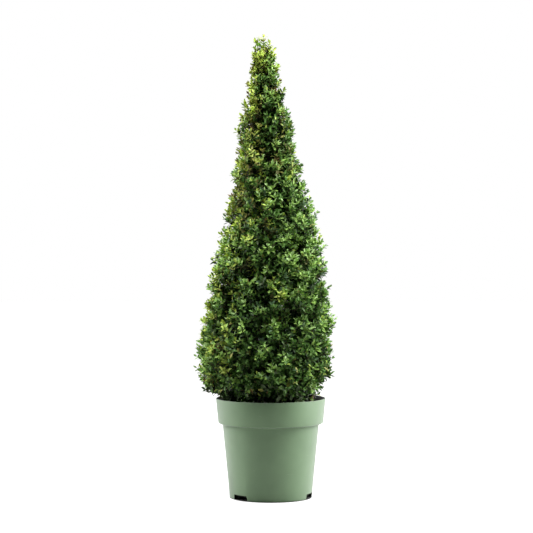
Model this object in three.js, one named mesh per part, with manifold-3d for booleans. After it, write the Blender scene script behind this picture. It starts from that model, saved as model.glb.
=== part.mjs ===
// A boxwood clipped to a tall cone, growing in a round plastic nursery pot.
// Millimetres, +Z up. The origin is the middle of the pot's underside, on the surface it stands on.
// The front of the plant faces -Y, and +X is to its right.
import * as THREE from "three";
import { mergeVertices } from "three/addons/utils/BufferGeometryUtils.js";
import Module from "manifold-3d";

const wasm = await Module();
wasm.setup();

// Pot
const POT_HEIGHT = 270;
const RIM_RADIUS = 150; // outside of the rim band, at its top
const BAND_LOW_RADIUS = 143.5; // outside of the rim band, at its lower edge
const BAND_HEIGHT = 68;
const BODY_TOP_RADIUS = 131.5; // outside of the body, just under the band
const FOOT_RADIUS = 112; // outside of the body, where it stands
const WALL = 3;
const LIP_ROUND = 1.2;
const FOOT_WIDTH = 10; // the ring that the pot stands on
const CHANNEL_INNER_RADIUS = 62; // the raised drainage channel runs from here to the foot ring
const CHANNEL_HEIGHT = 8;
const CHANNEL_DRAFT = { inner: 2, outer: 1 }; // how much narrower the channel is at its top, at each side
const POT_SEGMENTS = 48;
const NOTCH = { count: 3, width: 50, height: 13.5, depth: 22, firstAngle: -138, flare: 2 }; // degrees from +X
const CUT_SPARE = { inwards: 2, under: 1 }; // how far the notches' cuts reach past what they cut
const DRAIN = { count: 9, radius: 7, sides: 8 };

// Soil
const SOIL_TOP = 245;
const CLEARANCE = 0.3; // between neighbouring solids

// Crown: its outline is where the leaf tips reach, as [radius, height] from the middle of its underside,
// out over the pot's rim, round the shoulder and up to the tip
const OUTLINE = [
  [0, 250],
  [84, 252],
  [132, 264],
  [164, 294],
  [188, 330],
  [194, 375],
  [190, 440],
  [173, 530],
  [158, 635],
  [131, 750],
  [102, 860],
  [82, 975],
  [57, 1090],
  [42, 1165],
  [29, 1228],
  [8, 1258],
];
const LEAF_DEPTH = 27; // from the core's surface out to the leaf tips
const UNDERSIDE_DEPTH = 20; // the same, under the skirt
const SHOULDER = 400; // the flank runs from here up
const TIP_DEPTH_SHARE = 0.6; // of the outline's radius, where the crown is narrow
const CORE_TOP = 1182; // above it the crown is only shoots round the leader
const CORE_SEGMENTS = 16;
const CORE_RINGS = 19;
const UNDERSIDE_SHARES = [0.06, 0.18]; // of the outline's length, where that depth turns into the flank's
const FLANK_FROM_SHARE = 0.2; // past it the outline only rises
const NORMAL_STEP = 0.01; // the same, to each side of where a normal is taken
const BUMP = 6; // how far the clipped surface swells and sinks
// Its waves: how many go round the crown, the height that one radian rises, and the phase
const ROLLS = [
  [3, 61, 0],
  [5, -37, 0],
  [2, 97, 1.3],
];
const NARROW_RADIUS = 60; // where the outline is narrower, the waves fade out
const ROUGHNESS = 2.5; // how far each point of the core is off that surface

// The line up the middle of the crown: [height, sideways x, sideways y]
const LEAN = [
  [250, -14, 0],
  [370, -17, 3],
  [500, -8, 3],
  [640, 0, 2],
  [780, -1, -3],
  [900, -11, -4],
  [1040, -13, -2],
  [1150, -19, 0],
  [1258, -20, 2],
].map(([z, x, y]) => new THREE.Vector3(x, y, z));

// Tiers of foliage, parted by cones that rise outwards as the shoots do
const TIER_NAMES = ["foliage_skirt", "foliage_lower", "foliage_upper", "foliage_tip"];
const TIER_EDGE_HEIGHTS = [478, 700, 925]; // where each parting comes out of the flank
const TIER_SLOPE = Math.tan(THREE.MathUtils.degToRad(38));
const TIER_GAP = 0.8;
const TIER_MARGIN = 9; // from a parting to the nearest shoots' tips
const TRUNK_ROOM = 5; // how far the cores stay clear of the trunk
const LIMB_ROOM = CLEARANCE + 0.05; // how far leaves stay clear of the trunk and side stems
const OVER_SOIL = 1.5; // how far foliage stays above the soil and the rim
const RIM_ROOM = { gap: 5, slope: 6 }; // from the wall, and the width over which it rises to the rim
const PAST_CROWN = { out: 100, up: 20 }; // how far the tiers' spaces reach past the rim and the tip
const BORE = { sides: 8, rings: 8 };

// Trunk and side stems
const TRUNK = { radius: 13, topRadius: 2.4, taper: 0.85, top: 1218, sides: 12, rings: 16 };
const TRUNK_FLARE = { out: 13, height: 16, lobes: 5, lobeShare: 0.28, phase: 0.6 };
const TRUNK_SETTLE = 260; // above its foot, where the trunk has come over to the crown's middle
const TRUNK_SWAY = { x: { far: 2.5, over: 90, phase: 0 }, y: { far: 2, over: 70, phase: 1 } };
const SIDE_STEM = { radius: 7.5, topRadius: 4.5, flare: 3.5, flareHeight: 10, top: 298, sides: 8, rings: 5 };
const SIDE_STEM_SWAY = { far: 3, bends: 3 };
// [degrees from +X, distance of the foot from the pot's axis, distance of the top]
const SIDE_STEMS = [
  [4, 104, 118],
  [-62, 58, 80],
  [-128, 66, 92],
  [168, 52, 84],
  [82, 60, 80],
];
const TIER_STEM = { share: 0.6, length: 46, sides: 6, rise: 0.7, above: 42, firstTurn: 1 };

// Shoots: a three-sided twig with leaves in opposite pairs, each pair a quarter turn from the last
const LEAF = { length: 38, width: 24, widest: 0.55, fold: 3.4, sunk: 0.7 };
const LEAF_SIZES = [0.88, 1.06]; // the smallest and the largest, as shares of that
const TWIG = { radius: 3.2, tipRadius: 2.3, sunk: 8 };
const PAIR_GAP = 9; // along the twig
const PAIRS = 2;
const PAIR_SPREADS = [74, 44]; // degrees off the twig, of the lowest pair and of the last
const PAIR_STRAY = { turn: 0.25, spread: 9 }; // how far a leaf may be off that, in radians and in degrees
const LAST_LEAF_REACH = 0.76; // of a leaf's length, how far the last pair reaches past the twig
const SHOOT_RISE = 0.62; // how much the shoots turn up from the surface's normal
const SHOOT_STRAY = 0.2; // how far a shoot's direction may be off that, each way
const SHOOT_SIZES = [0.9, 1.08]; // the smallest and the largest
const FULL_SIZE_RADIUS = 100; // where the outline is narrower, the shoots are smaller
const SMALLEST_SHOOT = 0.72;
const GOLDEN_ANGLE = 2.39996; // radians from each shoot to the next, so that they never line up
const SHOOTS_PER_TIER = [56, 42, 32, 22];
const FIRST_SHOOT_SHARE = 0.06; // nearer the underside's middle it is bare
const NARROW_SHARE = 14; // how much more than its area the narrow top gets of the shoots
const LEADING_SHOOTS = {
  count: 7,
  root: 10, // from the crown's middle to their roots
  rootDepth: 20, // of the roots, under the core's top
  lean: [9, 17], // from the crown's middle to their ends, of the highest and of the lowest
  lowest: 1216,
  highest: 1260,
  pairGap: 22,
  size: 0.72,
  firstTurn: 0.4,
};
// Shoots that have outgrown the clipping: [height, degrees from +X, how far past the outline]
const STRAYS = [
  [352, -178, 14],
  [405, 172, 10],
  [345, -8, 3],
  [640, -14, 4],
  [768, 8, 17],
  [822, -22, 15],
  [372, -52, 8],
  [900, 118, 12],
  [560, 74, 12],
];
const SEED = 20417;
const FINEST = 0.02; // smaller steps in a joined solid are smoothed away

const COLOURS = {
  pot: { color: 0x6f8f6d, roughness: 0.55, metalness: 0 },
  soil: { color: 0x2a201a, roughness: 0.95, metalness: 0 },
  bark: { color: 0x7d6a52, roughness: 0.85, metalness: 0 },
  foliage: { color: 0x3f6a22, roughness: 0.6, metalness: 0 },
};

// Random numbers between 0 and 1 that are the same on every run.
function seeded(seed) {
  let state = seed >>> 0;
  return () => {
    state = (state + 0x6d2b79f5) >>> 0;
    let t = state;
    t = Math.imul(t ^ (t >>> 15), t | 1);
    t ^= t + Math.imul(t ^ (t >>> 7), t | 61);
    return ((t ^ (t >>> 14)) >>> 0) / 4294967296;
  };
}

const turn = THREE.MathUtils.degToRad;
const mix = THREE.MathUtils.lerp;

// A closed geometry as a solid for cutting and joining.
function toSolid(geometry) {
  const bare = geometry.clone();
  for (const name of Object.keys(bare.attributes)) {
    if (name !== "position") bare.deleteAttribute(name);
  }
  const merged = mergeVertices(bare, 1e-4);
  return new wasm.Manifold(
    new wasm.Mesh({
      numProp: 3,
      vertProperties: merged.attributes.position.array,
      triVerts: new Uint32Array(merged.index.array),
    }),
  );
}

function toGeometry(solid) {
  const { numProp, numVert, vertProperties, triVerts } = solid.getMesh();
  const position = new Float32Array(numVert * 3);
  for (let i = 0; i < numVert; i++) {
    position.set(vertProperties.subarray(i * numProp, i * numProp + 3), i * 3);
  }
  const geometry = new THREE.BufferGeometry();
  geometry.setAttribute("position", new THREE.BufferAttribute(position, 3));
  geometry.setIndex(new THREE.BufferAttribute(triVerts, 1));
  return geometry;
}

// The largest closed body of a solid: loose scraps and hollows that fusing sealed are left out.
function largestBody(solid) {
  return solid.decompose().reduce((a, b) => (b.volume() > a.volume() ? b : a));
}

function joined(solids) {
  let level = solids;
  while (level.length > 1) {
    const next = [];
    for (let i = 0; i < level.length; i += 2) {
      next.push(i + 1 < level.length ? level[i].add(level[i + 1]) : level[i]);
    }
    level = next;
  }
  return level[0];
}

// Whether two solids share any space: their boxes are looked at first.
function touches(a, b) {
  const [boxA, boxB] = [a.boundingBox(), b.boundingBox()];
  const apart = [0, 1, 2].some((k) => boxA.min[k] > boxB.max[k] || boxB.min[k] > boxA.max[k]);
  return !apart && !a.intersect(b).isEmpty();
}

// A solid of revolution about Z from [radius, height] pairs that begin and end on the axis, lower end first.
function turned(profile, segments) {
  const points = profile.map(([r, z]) => new THREE.Vector2(r, z));
  return toSolid(new THREE.LatheGeometry(points, segments).rotateX(Math.PI / 2));
}

// A closed skin over rings of points, each ring the same count, with a middle point closing each end.
function skinned(rings) {
  const sides = rings[0].length;
  const points = rings.flat();
  const index = [];
  for (let k = 0; k + 1 < rings.length; k++) {
    for (let i = 0; i < sides; i++) {
      const a = k * sides + i;
      const b = k * sides + ((i + 1) % sides);
      index.push(a, b, a + sides, b, b + sides, a + sides);
    }
  }
  const middle = (ring) => ring.reduce((s, p) => s.add(p), new THREE.Vector3()).divideScalar(sides);
  const low = points.push(middle(rings[0])) - 1;
  const high = points.push(middle(rings[rings.length - 1])) - 1;
  const last = (rings.length - 1) * sides;
  for (let i = 0; i < sides; i++) {
    const j = (i + 1) % sides;
    index.push(low, j, i, high, last + i, last + j);
  }
  const geometry = new THREE.BufferGeometry().setFromPoints(points);
  geometry.setIndex(index);
  return toSolid(geometry);
}

// Radius of the pot's outside and inside at a height.
const bodyRadius = (z) => mix(FOOT_RADIUS, BODY_TOP_RADIUS, z / (POT_HEIGHT - BAND_HEIGHT));
const bandRadius = (z) => mix(RIM_RADIUS, BAND_LOW_RADIUS, (POT_HEIGHT - z) / BAND_HEIGHT);

function pot() {
  const bandFoot = POT_HEIGHT - BAND_HEIGHT;
  const plate = CHANNEL_HEIGHT + WALL;
  const channelOuter = FOOT_RADIUS - FOOT_WIDTH;
  const outside = [
    [0, 0],
    [CHANNEL_INNER_RADIUS, 0],
    [CHANNEL_INNER_RADIUS + CHANNEL_DRAFT.inner, CHANNEL_HEIGHT],
    [channelOuter - CHANNEL_DRAFT.outer, CHANNEL_HEIGHT],
    [channelOuter, 0],
    [FOOT_RADIUS - LIP_ROUND, 0],
    [bodyRadius(LIP_ROUND), LIP_ROUND],
    [BODY_TOP_RADIUS, bandFoot - WALL],
    [BAND_LOW_RADIUS - WALL, bandFoot],
    [BAND_LOW_RADIUS, bandFoot + WALL],
    [RIM_RADIUS, POT_HEIGHT - LIP_ROUND],
    [RIM_RADIUS - LIP_ROUND, POT_HEIGHT],
  ];
  const inside = [
    [RIM_RADIUS - WALL, POT_HEIGHT],
    [BAND_LOW_RADIUS - WALL, bandFoot + 2 * WALL],
    [BODY_TOP_RADIUS - WALL, bandFoot],
    [bodyRadius(plate) - WALL, plate],
    [CHANNEL_INNER_RADIUS, plate],
    [CHANNEL_INNER_RADIUS - WALL, WALL],
    [0, WALL],
  ];
  let solid = turned([...outside, ...inside], POT_SEGMENTS);
  const notch = new THREE.Shape([
    new THREE.Vector2(-NOTCH.width / 2 - NOTCH.flare, -CUT_SPARE.under),
    new THREE.Vector2(NOTCH.width / 2 + NOTCH.flare, -CUT_SPARE.under),
    new THREE.Vector2(NOTCH.width / 2, NOTCH.height),
    new THREE.Vector2(-NOTCH.width / 2, NOTCH.height),
  ]);
  for (let i = 0; i < NOTCH.count; i++) {
    const cut = new THREE.ExtrudeGeometry(notch, { depth: NOTCH.depth, bevelEnabled: false });
    cut.rotateX(Math.PI / 2).rotateZ(Math.PI / 2).translate(channelOuter - CUT_SPARE.inwards, 0, 0);
    cut.rotateZ(turn(NOTCH.firstAngle + (i * 360) / NOTCH.count));
    solid = solid.subtract(toSolid(cut));
  }
  for (let i = 0; i < DRAIN.count; i++) {
    const hole = new THREE.CylinderGeometry(DRAIN.radius, DRAIN.radius, 6 * WALL, DRAIN.sides);
    hole.rotateX(Math.PI / 2).translate((CHANNEL_INNER_RADIUS + channelOuter) / 2, 0, CHANNEL_HEIGHT);
    hole.rotateZ(((i + 0.5) * 2 * Math.PI) / DRAIN.count);
    solid = solid.subtract(toSolid(hole));
  }
  return solid;
}

function soil() {
  const floor = CHANNEL_HEIGHT + WALL + CLEARANCE;
  const bandFoot = POT_HEIGHT - BAND_HEIGHT;
  const inner = (outer) => outer - WALL - CLEARANCE;
  const profile = [
    [0, WALL + CLEARANCE],
    [CHANNEL_INNER_RADIUS - WALL - CLEARANCE, WALL + CLEARANCE],
    [CHANNEL_INNER_RADIUS - 2 * CLEARANCE, floor],
    [inner(bodyRadius(floor)), floor],
    [inner(BODY_TOP_RADIUS), bandFoot + CLEARANCE],
    [inner(BAND_LOW_RADIUS), bandFoot + 2 * WALL + CLEARANCE],
    [inner(bandRadius(SOIL_TOP)), SOIL_TOP],
    [0, SOIL_TOP],
  ];
  return turned(profile, POT_SEGMENTS);
}

// The middle of the crown at a height.
const leanCurve = new THREE.CatmullRomCurve3(LEAN, false, "centripetal");
const leanPoints = leanCurve.getPoints(80);
function middleAt(z) {
  const above = leanPoints.findIndex((p) => p.z >= z);
  if (above <= 0) return (above < 0 ? leanPoints[leanPoints.length - 1] : leanPoints[0]).clone().setZ(z);
  const [a, b] = [leanPoints[above - 1], leanPoints[above]];
  return a.clone().lerp(b, (z - a.z) / (b.z - a.z));
}

// The crown's outline as [radius, height], by a share of its length from the underside's middle to the tip.
const outlineCurve = new THREE.SplineCurve(OUTLINE.map(([r, z]) => new THREE.Vector2(r, z)));
const outlinePoints = outlineCurve.getSpacedPoints(400);
function outline(share) {
  const place = THREE.MathUtils.clamp(share, 0, 1) * (outlinePoints.length - 1);
  const k = Math.min(Math.floor(place), outlinePoints.length - 2);
  const point = outlinePoints[k].clone().lerp(outlinePoints[k + 1], place - k);
  return [Math.max(point.x, 0), point.y];
}

// The share at which the outline's flank passes a height.
function flankShare(height) {
  const last = outlinePoints.length - 1;
  return outlinePoints.findIndex((p, i) => p.y >= height && i > last * FLANK_FROM_SHARE) / last;
}

// The outline's outward normal in the plane of [radius, height].
function outlineNormal(share) {
  const [r0, z0] = outline(share - NORMAL_STEP);
  const [r1, z1] = outline(share + NORMAL_STEP);
  return new THREE.Vector2(z1 - z0, r0 - r1).normalize();
}

// How much the clipped surface swells out at an angle and height.
function swell(angle, z) {
  const waves = ROLLS.map(([lobes, rise, phase]) => Math.sin(lobes * angle + z / rise + phase));
  return (BUMP * waves.reduce((a, b) => a + b)) / 2;
}

function coreDepth(share) {
  const [r, z] = outline(share);
  const most = z < SHOULDER ? LEAF_DEPTH : TIP_DEPTH_SHARE * r;
  const round = THREE.MathUtils.smoothstep(share, ...UNDERSIDE_SHARES);
  return Math.min(most, mix(UNDERSIDE_DEPTH, LEAF_DEPTH, round));
}

// A point at a depth under the outline.
function crownPoint(share, angle, depth) {
  const [r, z] = outline(share);
  const n = outlineNormal(share);
  const height = z - n.y * depth;
  const fade = Math.min(1, r / NARROW_RADIUS);
  const out = Math.max(0, r - n.x * depth + fade * swell(angle, z));
  return middleAt(height).add(new THREE.Vector3(out * Math.cos(angle), out * Math.sin(angle), 0));
}

function crownCore() {
  const random = seeded(SEED);
  const rings = [];
  const top = flankShare(CORE_TOP);
  for (let k = 1; k <= CORE_RINGS; k++) {
    const share = (top * k) / CORE_RINGS;
    const ring = [];
    for (let i = 0; i < CORE_SEGMENTS; i++) {
      const angle = ((i + (k % 2) / 2) * 2 * Math.PI) / CORE_SEGMENTS;
      ring.push(crownPoint(share, angle, coreDepth(share) + ROUGHNESS * mix(-1, 1, random())));
    }
    rings.push(ring);
  }
  return skinned(rings);
}

// The height of the parting above a tier, at a distance from the pot's axis.
const partingHeight = (tier, r) =>
  TIER_EDGE_HEIGHTS[tier] + TIER_SLOPE * (r - outline(flankShare(TIER_EDGE_HEIGHTS[tier]))[0]);

// The space of each tier, between its partings, and above the soil and the pot's rim.
function tierSpace(tier) {
  const reach = RIM_RADIUS + PAST_CROWN.out;
  const ceiling = OUTLINE.at(-1)[1] + PAST_CROWN.up;
  const rimInside = RIM_RADIUS - WALL - RIM_ROOM.gap;
  const overSoil = [
    [0, SOIL_TOP + OVER_SOIL],
    [rimInside - RIM_ROOM.slope, SOIL_TOP + OVER_SOIL],
    [rimInside, POT_HEIGHT + OVER_SOIL],
    [reach, POT_HEIGHT + OVER_SOIL],
  ];
  const overParting = [0, reach].map((r) => [r, partingHeight(tier - 1, r) + TIER_GAP]);
  const top = [reach, 0].map((r) => [r, tier < TIER_EDGE_HEIGHTS.length ? partingHeight(tier, r) : ceiling]);
  return turned([...(tier ? overParting : overSoil), ...top], CORE_SEGMENTS);
}

// A tapering upright limb with level rings, so that its foot is a flat cut.
function limb(path, radiusAt, sides, rings) {
  const made = [];
  for (let k = 0; k <= rings; k++) {
    const t = (k / rings) ** 1.5; // more rings near the foot, where it flares
    const centre = path(t);
    const ring = [];
    for (let i = 0; i < sides; i++) {
      const angle = (i * 2 * Math.PI) / sides;
      const r = radiusAt(t, angle);
      ring.push(centre.clone().add(new THREE.Vector3(r * Math.cos(angle), r * Math.sin(angle), 0)));
    }
    made.push(ring);
  }
  return skinned(made);
}

// The trunk's middle and radius at a height.
const TRUNK_FOOT = SOIL_TOP + CLEARANCE;
function trunkMiddle(z) {
  const settle = THREE.MathUtils.smoothstep(z, TRUNK_FOOT, TRUNK_FOOT + TRUNK_SETTLE);
  const sway = ({ far, over, phase }) => far * Math.sin(z / over + phase);
  const at = middleAt(z);
  return new THREE.Vector3(at.x * settle + sway(TRUNK_SWAY.x), at.y * settle + sway(TRUNK_SWAY.y), z);
}
function trunkRadius(z) {
  const risen = (z - TRUNK_FOOT) / (TRUNK.top - TRUNK_FOOT);
  return mix(TRUNK.radius, TRUNK.topRadius, risen ** TRUNK.taper);
}

// The trunk, or with spare the room that is kept clear for it.
function trunk(spare = 0) {
  const past = (t) => new THREE.Vector3(0, 0, t === 1 ? spare : 0);
  const path = (t) => trunkMiddle(mix(TRUNK_FOOT, TRUNK.top, t)).add(past(t));
  const radiusAt = (t, angle) => {
    const z = mix(TRUNK_FOOT, TRUNK.top, t);
    const lobe = 1 + TRUNK_FLARE.lobeShare * Math.cos(TRUNK_FLARE.lobes * angle + TRUNK_FLARE.phase);
    return trunkRadius(z) + TRUNK_FLARE.out * lobe * Math.exp((TRUNK_FOOT - z) / TRUNK_FLARE.height) + spare;
  };
  return limb(path, radiusAt, TRUNK.sides, TRUNK.rings);
}

// The bore that the cores leave for the trunk.
function trunkBore() {
  const path = (t) => trunkMiddle(mix(TRUNK_FOOT, TRUNK.top, t));
  const radiusAt = (t) => trunkRadius(path(t).z) + TRUNK_ROOM;
  return limb(path, radiusAt, BORE.sides, BORE.rings);
}

function sideStem([angle, footAt, topAt], spare = 0) {
  const path = (t) => {
    const out = mix(footAt, topAt, Math.sin((t * Math.PI) / 2));
    const sway = SIDE_STEM_SWAY.far * Math.sin(SIDE_STEM_SWAY.bends * t + angle);
    return new THREE.Vector3(
      out * Math.cos(turn(angle)) - sway * Math.sin(turn(angle)),
      out * Math.sin(turn(angle)) + sway * Math.cos(turn(angle)),
      mix(TRUNK_FOOT, SIDE_STEM.top + spare, t),
    );
  };
  const radiusAt = (t) =>
    mix(SIDE_STEM.radius, SIDE_STEM.topRadius, t) +
    SIDE_STEM.flare * Math.exp((-t * (SIDE_STEM.top - TRUNK_FOOT)) / SIDE_STEM.flareHeight) +
    spare;
  return limb(path, radiusAt, SIDE_STEM.sides, SIDE_STEM.rings);
}

// Two unit vectors square to a direction and to each other.
function acrossOf(direction) {
  const up = Math.abs(direction.z) > 0.9 ? new THREE.Vector3(1, 0, 0) : new THREE.Vector3(0, 0, 1);
  const side = new THREE.Vector3().crossVectors(up, direction).normalize();
  return [side, new THREE.Vector3().crossVectors(direction, side)];
}

// A straight tapering piece from one point to another.
function tapered(from, to, radius, tipRadius, sides) {
  const [u, v] = acrossOf(to.clone().sub(from).normalize());
  const ringAt = (centre, r) =>
    Array.from({ length: sides }, (_, i) => {
      const angle = (i * 2 * Math.PI) / sides;
      return centre.clone().addScaledVector(u, r * Math.cos(angle)).addScaledVector(v, r * Math.sin(angle));
    });
  return skinned([ringAt(from, radius), ringAt(to, tipRadius)]);
}

// A three-sided twig, closed by one face at each end.
function twig(from, to) {
  const [u, v] = acrossOf(to.clone().sub(from).normalize());
  const points = [
    [from, TWIG.radius],
    [to, TWIG.tipRadius],
  ].flatMap(([centre, r]) =>
    [0, 1, 2].map((i) => {
      const angle = (i * 2 * Math.PI) / 3;
      return centre.clone().addScaledVector(u, r * Math.cos(angle)).addScaledVector(v, r * Math.sin(angle));
    }),
  );
  const geometry = new THREE.BufferGeometry().setFromPoints(points);
  geometry.setIndex([0, 2, 1, 3, 4, 5, 0, 1, 3, 1, 4, 3, 1, 2, 4, 2, 5, 4, 2, 0, 5, 0, 3, 5]);
  return toSolid(geometry);
}

// A leaf folded along its midrib: a keel from its root to its tip, and a point out and up at each side.
function leaf(root, direction, faceUp, size) {
  const length = LEAF.length * size;
  const across = new THREE.Vector3().crossVectors(direction, faceUp).normalize();
  const top = new THREE.Vector3().crossVectors(across, direction);
  const at = (along, side, up) =>
    root
      .clone()
      .addScaledVector(direction, along * length)
      .addScaledVector(across, side * LEAF.width * size)
      .addScaledVector(top, up);
  const geometry = new THREE.BufferGeometry().setFromPoints([
    at(0, 0, 0),
    at(1, 0, 0),
    at(LEAF.widest, 0.5, LEAF.fold),
    at(LEAF.widest, -0.5, LEAF.fold),
  ]);
  geometry.setIndex([0, 1, 2, 0, 3, 1, 0, 2, 3, 1, 3, 2]);
  return toSolid(geometry);
}

// A twig from a root to an end, with its pairs of leaves.
function shoot(from, end, pairs, pairGap, size, random) {
  const axis = end.clone().sub(from).normalize();
  const [u, v] = acrossOf(axis);
  const spin = random() * Math.PI;
  const leaves = [];
  for (let k = 0; k < pairs; k++) {
    const back = 1 + (pairs - 1 - k) * pairGap * size;
    const spread = mix(...PAIR_SPREADS, ((k + 1) / pairs) ** 2);
    for (const half of [0, Math.PI]) {
      const about = spin + half + (k * Math.PI) / 2 + mix(-PAIR_STRAY.turn, PAIR_STRAY.turn, random());
      const side = u.clone().multiplyScalar(Math.cos(about)).addScaledVector(v, Math.sin(about));
      const open = turn(spread + mix(-PAIR_STRAY.spread, PAIR_STRAY.spread, random()));
      const out = axis.clone().multiplyScalar(Math.cos(open)).addScaledVector(side, Math.sin(open));
      const root = end.clone().addScaledVector(axis, -back).addScaledVector(out, -LEAF.sunk);
      leaves.push(leaf(root, out, axis, size * mix(...LEAF_SIZES, random())));
    }
  }
  return { stem: twig(from, end), leaves };
}

// A shoot that stands out of the core to the outline, or past it.
function surfaceShoot(share, angle, past, random) {
  const [radius] = outline(share);
  const grown = THREE.MathUtils.clamp(radius / FULL_SIZE_RADIUS, SMALLEST_SHOOT, 1);
  const size = grown * mix(...SHOOT_SIZES, random());
  const n = outlineNormal(share);
  const normal = new THREE.Vector3(n.x * Math.cos(angle), n.x * Math.sin(angle), n.y);
  const stray = () => mix(-SHOOT_STRAY, SHOOT_STRAY, random());
  const direction = normal.clone().add(new THREE.Vector3(0, 0, SHOOT_RISE));
  direction.add(new THREE.Vector3(stray(), stray(), stray())).normalize();
  const leafReach = LAST_LEAF_REACH * LEAF.length * size;
  const end = crownPoint(share, angle, 0).addScaledVector(direction, past - leafReach);
  const bare = coreDepth(share) / normal.dot(direction) - (leafReach - past); // of the twig, out of the core
  const from = end.clone().addScaledVector(direction, -Math.max(bare, 0) - TWIG.sunk);
  return shoot(from, end, PAIRS, PAIR_GAP, size, random);
}

// The long shoots that stand round the leader and make the tip.
function leadingShoots(random) {
  const { count, root, rootDepth, lean, lowest, highest, pairGap, firstTurn } = LEADING_SHOOTS;
  return Array.from({ length: count }, (_, i) => {
    const angle = i * GOLDEN_ANGLE + firstTurn;
    const down = i / (count - 1);
    const size = LEADING_SHOOTS.size * mix(...SHOOT_SIZES, random());
    const sideways = new THREE.Vector3(Math.cos(angle), Math.sin(angle), 0);
    const from = middleAt(CORE_TOP - rootDepth).addScaledVector(sideways, root);
    const height = mix(highest, lowest, down) - LAST_LEAF_REACH * LEAF.length * size;
    const end = middleAt(height).addScaledVector(sideways, mix(...lean, down));
    const pairs = Math.max(1, Math.round((end.z - CORE_TOP) / pairGap));
    return { ...shoot(from, end, pairs, pairGap / size, size, random), crowded: true };
  });
}

// Shares of the outline, evenly spread over a tier's part of the surface.
function spreadShares(low, high, count) {
  const steps = 60;
  const areas = [0];
  for (let i = 0; i < steps; i++) {
    const [r0, z0] = outline(mix(low, high, i / steps));
    const [r1, z1] = outline(mix(low, high, (i + 1) / steps));
    areas.push(areas[i] + (NARROW_SHARE + (r0 + r1) / 2) * Math.hypot(r1 - r0, z1 - z0));
  }
  return Array.from({ length: count }, (_, i) => {
    const wanted = ((i + 0.5) / count) * areas[steps];
    const step = areas.findIndex((a) => a > wanted) - 1;
    const part = (wanted - areas[step]) / (areas[step + 1] - areas[step]);
    return mix(low, high, (step + part) / steps);
  });
}

// The stem that carries a tier, from close to the trunk's side up into the tier's core.
function tierStem(tier) {
  const height = (tier ? partingHeight(tier - 1, 0) : OUTLINE[0][1]) + TIER_STEM.above;
  const angle = tier * GOLDEN_ANGLE + TIER_STEM.firstTurn;
  const from = trunkMiddle(height);
  const radius = TIER_STEM.share * trunkRadius(height);
  const direction = new THREE.Vector3(Math.cos(angle), Math.sin(angle), TIER_STEM.rise).normalize();
  const length = tier === TIER_NAMES.length - 1 ? TIER_STEM.length / 2 : TIER_STEM.length;
  return tapered(from, from.clone().addScaledVector(direction, length), radius, radius / 2, TIER_STEM.sides);
}

// One tier of foliage: its part of the core, the stem that carries it, and its shoots.
function foliage(tier, core, limbs) {
  const random = seeded(SEED + tier);
  const space = tierSpace(tier);
  const topmost = tier === TIER_NAMES.length - 1;
  const low = tier ? flankShare(TIER_EDGE_HEIGHTS[tier - 1] + TIER_MARGIN) : FIRST_SHOOT_SHARE;
  const high = flankShare(topmost ? CORE_TOP + 2 * TIER_MARGIN : TIER_EDGE_HEIGHTS[tier] - TIER_MARGIN);
  const part = core.intersect(space).subtract(trunkBore()).add(tierStem(tier)).subtract(limbs);
  const shoots = spreadShares(low, high, SHOOTS_PER_TIER[tier]).map((share, i) =>
    surfaceShoot(share, i * GOLDEN_ANGLE + tier, 0, random),
  );
  for (const [z, angle, past] of STRAYS) {
    const home = TIER_EDGE_HEIGHTS.findIndex((edge) => z < edge);
    if (home === tier) shoots.push(surfaceShoot(flankShare(z), turn(angle), past, random));
  }
  if (topmost) shoots.push(...leadingShoots(random));
  const kept = [];
  const clear = (solid) => solid.subtract(space).isEmpty() && solid.intersect(limbs).isEmpty();
  const uncrowded = (solid) => !kept.some((other) => touches(other, solid));
  const pieces = [part];
  for (const { stem, leaves, crowded } of shoots) {
    const fits = (solid) => clear(solid) && (crowded || uncrowded(solid));
    if (!fits(stem) || stem.intersect(part).isEmpty()) continue;
    const fitting = leaves.filter(fits);
    kept.push(stem, ...fitting);
    pieces.push(stem, ...fitting);
  }
  return largestBody(joined(pieces).simplify(FINEST));
}

function named(name, solid, look) {
  const mesh = new THREE.Mesh(toGeometry(solid), new THREE.MeshStandardMaterial(COLOURS[look]));
  mesh.name = name;
  return mesh;
}

function plant() {
  const group = new THREE.Group();
  group.add(named("pot", pot(), "pot"));
  group.add(named("soil", soil(), "soil"));
  group.add(named("trunk", trunk(), "bark"));
  SIDE_STEMS.forEach((place, i) => group.add(named(`side_stem_${i + 1}`, sideStem(place), "bark")));
  const room = joined([trunk(LIMB_ROOM), ...SIDE_STEMS.map((place) => sideStem(place, LIMB_ROOM))]);
  const core = crownCore();
  TIER_NAMES.forEach((name, tier) => group.add(named(name, foliage(tier, core, room), "foliage")));
  return group;
}

export default plant();
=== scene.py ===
"""The looks of a boxwood clipped to a tall cone, in its round nursery pot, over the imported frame.
Metres, +Z up, with the front of the plant towards -Y and +X to its right."""

import math
from itertools import combinations

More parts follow.
